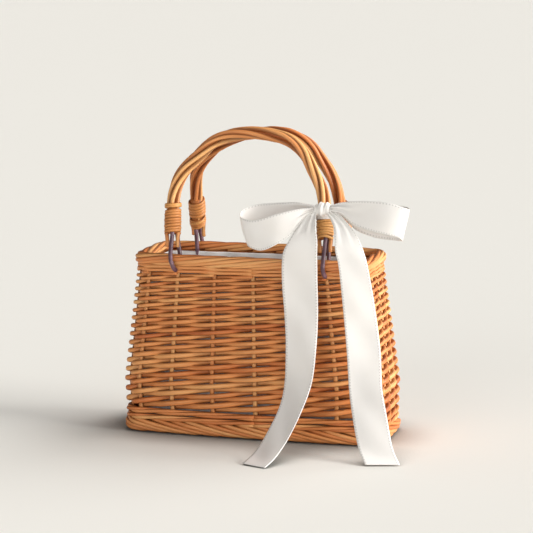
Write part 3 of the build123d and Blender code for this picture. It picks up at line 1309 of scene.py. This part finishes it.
@dataclass
class SatinBow:
    """The satin ribbon tied on the front handle's right leg."""
    handle: Handle
    width: float = 31.0
    thickness: float = 0.00035
    band_height: float = 46.0
    knot: tuple = (70.0, -37.5, 212.0)
    knot_half: tuple = (7.8, 4.3, 5.3)
    band_radius: float = 8.3
    band_half: float = 4.0
    floor_clear: float = 0.7
    across: int = 21
    seed: int = 21

    def strip(self, name: str, node: str, stations: list, count: int) -> bpy.types.Object:
        """Make a length of ribbon between its two edges, pleated where the edges draw together.

        Args:
            name: The piece's name.
            node: The frame's solid that it stands for.
            stations: Both edges' places.
            count: Samples along the ribbon.

        Returns:
            The new object.
        """
        rng = np.random.default_rng(self.seed + len(name))
        line = smooth_line(stations, count)
        one, two = line[:, [0, 4, 1]], line[:, [2, 5, 3]]
        centre, lie = (one + two) / 2, unit(two - one)
        width = np.linalg.norm(two - one, axis=1)
        out = unit(np.cross(tangents(centre), lie))
        v = np.linspace(-0.5, 0.5, self.across)[None]
        run = distance_along(centre)[:, None]
        gather = np.clip((24.0 - width) / 24.0, 0, 1)[:, None]
        pleat = gather * (1.5 * np.sin(15.0 * v + 0.03 * run) + 0.5 * np.sin(27.0 * v - 0.05 * run))
        phase = rng.uniform(0, 6, 3)
        soft = 0.45 * np.sin(0.05 * run + 3.0 * v + phase[0]) + 0.3 * np.sin(0.11 * run - 5.0 * v + phase[1])
        ease = np.clip(run / 30.0, 0, 1) * np.clip((run[-1] - run) / 12.0, 0, 1)
        relief = pleat + soft * ease
        grid = centre[:, None] + lie[:, None] * (v[..., None] * width[:, None, None])
        grid = grid + out[:, None] * relief[..., None]
        grid[..., 2] = np.maximum(grid[..., 2], self.floor_clear)
        obj = sheet_grid(name, grid * MM, SATIN, self.thickness)
        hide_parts(node)
        return obj

    def build(self) -> list:
        """Make the band, the knot, both loops and both tails.

        Returns:
            The new objects.
        """
        made = [self.band(), self.tie(),
                self.strip("left_loop_satin", "front_ribbon_left_loop", LEFT_LOOP, 150),
                self.strip("right_loop_satin", "front_ribbon_right_loop", RIGHT_LOOP, 150)]
        for obj in made:
            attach(obj, self.handle.body)
        for name, node, stations in (("left_tail_satin", "front_ribbon_left_tail", LEFT_TAIL),
                                     ("right_tail_satin", "front_ribbon_right_tail", RIGHT_TAIL)):
            tail = self.strip(name, node, stations, 260)
            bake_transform(tail)
            made.append(tail)
        return made

    def band(self) -> bpy.types.Object:
        """Wrap the ribbon, bunched narrow, round the leg.

        Returns:
            The new object.
        """
        foot, up, across = self.handle.leg(1)
        angle = np.linspace(0, 2 * math.pi, 72, endpoint=False)
        v = np.linspace(-1, 1, 15)
        grid = np.zeros((72, 15, 3))
        for j, lie in enumerate(v):
            fold = 0.35 * np.sin(9 * lie + 2 * np.sin(angle)) + 0.2 * np.cos(3 * angle)
            radius = self.band_radius + fold
            ring = foot + up * (self.band_height + self.band_half * lie + 0.8 * np.sin(angle))[:, None]
            spoke = across[None] * np.cos(angle)[:, None] + Y_AXIS[None] * np.sin(angle)[:, None]
            grid[:, j] = self.handle.lean_in(ring + spoke * radius[:, None])
        obj = sheet_grid("band_satin", grid, SATIN, self.thickness, closed=True)
        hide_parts("front_ribbon_band")
        return obj

    def tie(self) -> bpy.types.Object:
        """Model the knot: a plump pillow that a narrow fold of ribbon crosses from top to bottom.

        Returns:
            The new object.
        """
        around, along = 60, 41
        long, deep, high = self.knot_half
        angle = np.linspace(0, 2 * math.pi, around, endpoint=False)
        grid = np.zeros((around, along, 3))
        for j, u in enumerate(np.linspace(-1, 1, along)):
            girth = (1 - abs(u) ** 3.2) ** 0.5 + 0.12
            crease = 1 + 0.10 * np.cos(7.5 * u + 0.9 * np.sin(angle) + 0.5) + 0.04 * np.cos(16 * u - angle)
            x = self.knot[0] + long * u + 0.5 * np.sin(angle)
            y = self.knot[1] - deep * girth * crease * np.cos(angle)
            z = self.knot[2] + high * girth * crease * np.sin(angle) + 0.6 * u
            grid[:, j] = np.stack([x, y, z], axis=1)
        obj = sheet_grid("knot_satin", grid * MM, SATIN, self.thickness, closed=True)
        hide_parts("front_ribbon_knot")
        return obj


# ---------------------------------------------------------------- studio
@dataclass(frozen=True)
class Lamp:
    """One distant soft light: where it stands (m), how wide it looks (degrees), its power and colour."""
    name: str
    place: tuple
    spread: float
    power: float
    colour: tuple


LAMPS = (Lamp("key", (3.9, -0.1, 0.95), 30.0, 4.9, (1.0, 0.985, 0.955)),
         Lamp("back_key", (3.0, 2.5, 4.3), 45.0, 1.7, (1.0, 0.98, 0.96)),
         Lamp("right_fill", (2.8, -2.8, 1.6), 60.0, 0.65, (1.0, 0.99, 0.97)),
         Lamp("front_fill", (-1.2, -4.0, 1.2), 40.0, 0.75, (1.0, 0.99, 0.97)))


@dataclass
class Studio:
    """Floor, lights and camera."""
    half_floor: float = 40.0
    lamp_target: tuple = (0.0, 0.0, 0.12)
    azimuth: float = 18.0
    elevation: float = 9.8
    roll: float = -0.7
    distance: float = 2.0
    lens: float = 148.6
    target: tuple = (0.0056, 0.0, 0.152)
    sky: tuple = (1.0, 0.99, 0.97)
    sky_strength: float = 0.12

    def build(self) -> None:
        """Set up the stage, the lights and the camera."""
        self.floor()
        self.lights()
        self.camera()

    def floor(self) -> None:
        """Lay a wide level floor, which also fills the background."""
        half = self.half_floor
        verts = np.array([(-half, -half, 0.0), (half, -half, 0.0), (half, half, 0.0), (-half, half, 0.0)])
        floor = new_object("studio_floor", verts, [(0, 1, 2, 3)])
        floor.data.materials.append(Ground("studio_floor", "").material())

    def lights(self) -> None:
        """Light the set with an even sky, strong keys on the right and wide fills in front."""
        world = bpy.data.worlds.new("studio")
        bpy.context.scene.world = world
        world.use_nodes = True
        background = world.node_tree.nodes["Background"]
        background.inputs["Color"].default_value = (*self.sky, 1.0)
        background.inputs["Strength"].default_value = self.sky_strength
        for lamp in LAMPS:
            data = bpy.data.lights.new(lamp.name, "SUN")
            data.energy = lamp.power
            data.angle = math.radians(lamp.spread)
            data.color = lamp.colour
            obj = bpy.data.objects.new(lamp.name, data)
            bpy.context.scene.collection.objects.link(obj)
            obj.location = lamp.place
            self.aim(obj, self.lamp_target)
        bpy.context.scene.view_settings.view_transform = "Standard"

    def aim(self, obj: bpy.types.Object, target: tuple, roll: float = 0.0) -> None:
        """Point an object at a target.

        Args:
            obj: The lamp or camera, whose -Z axis is turned.
            target: The place to point at, in metres.
            roll: How far it then turns about that axis, in degrees.
        """
        way = Vector(target) - obj.location
        turn = way.to_track_quat("-Z", "Y") @ Quaternion((0.0, 0.0, 1.0), math.radians(roll))
        obj.rotation_euler = turn.to_euler()

    def camera(self) -> None:
        """Set the camera at the product shot's angle."""
        data = bpy.data.cameras.new("camera")
        data.lens = self.lens
        data.sensor_width = 36.0
        camera = bpy.data.objects.new("camera", data)
        bpy.context.scene.collection.objects.link(camera)
        a, e = math.radians(self.azimuth), math.radians(self.elevation)
        offset = np.array([math.sin(a) * math.cos(e), -math.cos(a) * math.cos(e), math.sin(e)])
        camera.location = np.array(self.target) + self.distance * offset
        self.aim(camera, self.target, self.roll)
        bpy.context.scene.camera = camera


# Corners of each handle's arch: x and height over the hinge, in mm.
FRONT_ARCH = [(-76.0, 73.0), (-36.0, 113.5), (0.0, 119.0), (39.0, 111.0), (67.5, 66.0)]
BACK_ARCH = [(-68.0, 80.0), (-39.0, 107.5), (0.0, 118.5), (40.0, 114.0), (67.0, 72.0)]


def main() -> None:
    """Build the basket piece by piece and report each one."""
    logging.basicConfig(level=logging.INFO, format="%(message)s")
    form = BasketForm()
    front = Handle(Side.FRONT, FRONT_ARCH, 3)
    back = Handle(Side.BACK, BACK_ARCH, 7)
    for maker in (WovenBody(form), ClothLiner(form), front, back, SatinBow(front)):
        for piece in maker.build():
            log.info("%s: %s, %d faces", type(maker).__name__, piece.name, len(piece.data.polygons))
    Studio().build()


if __name__ == "__main__":
    main()
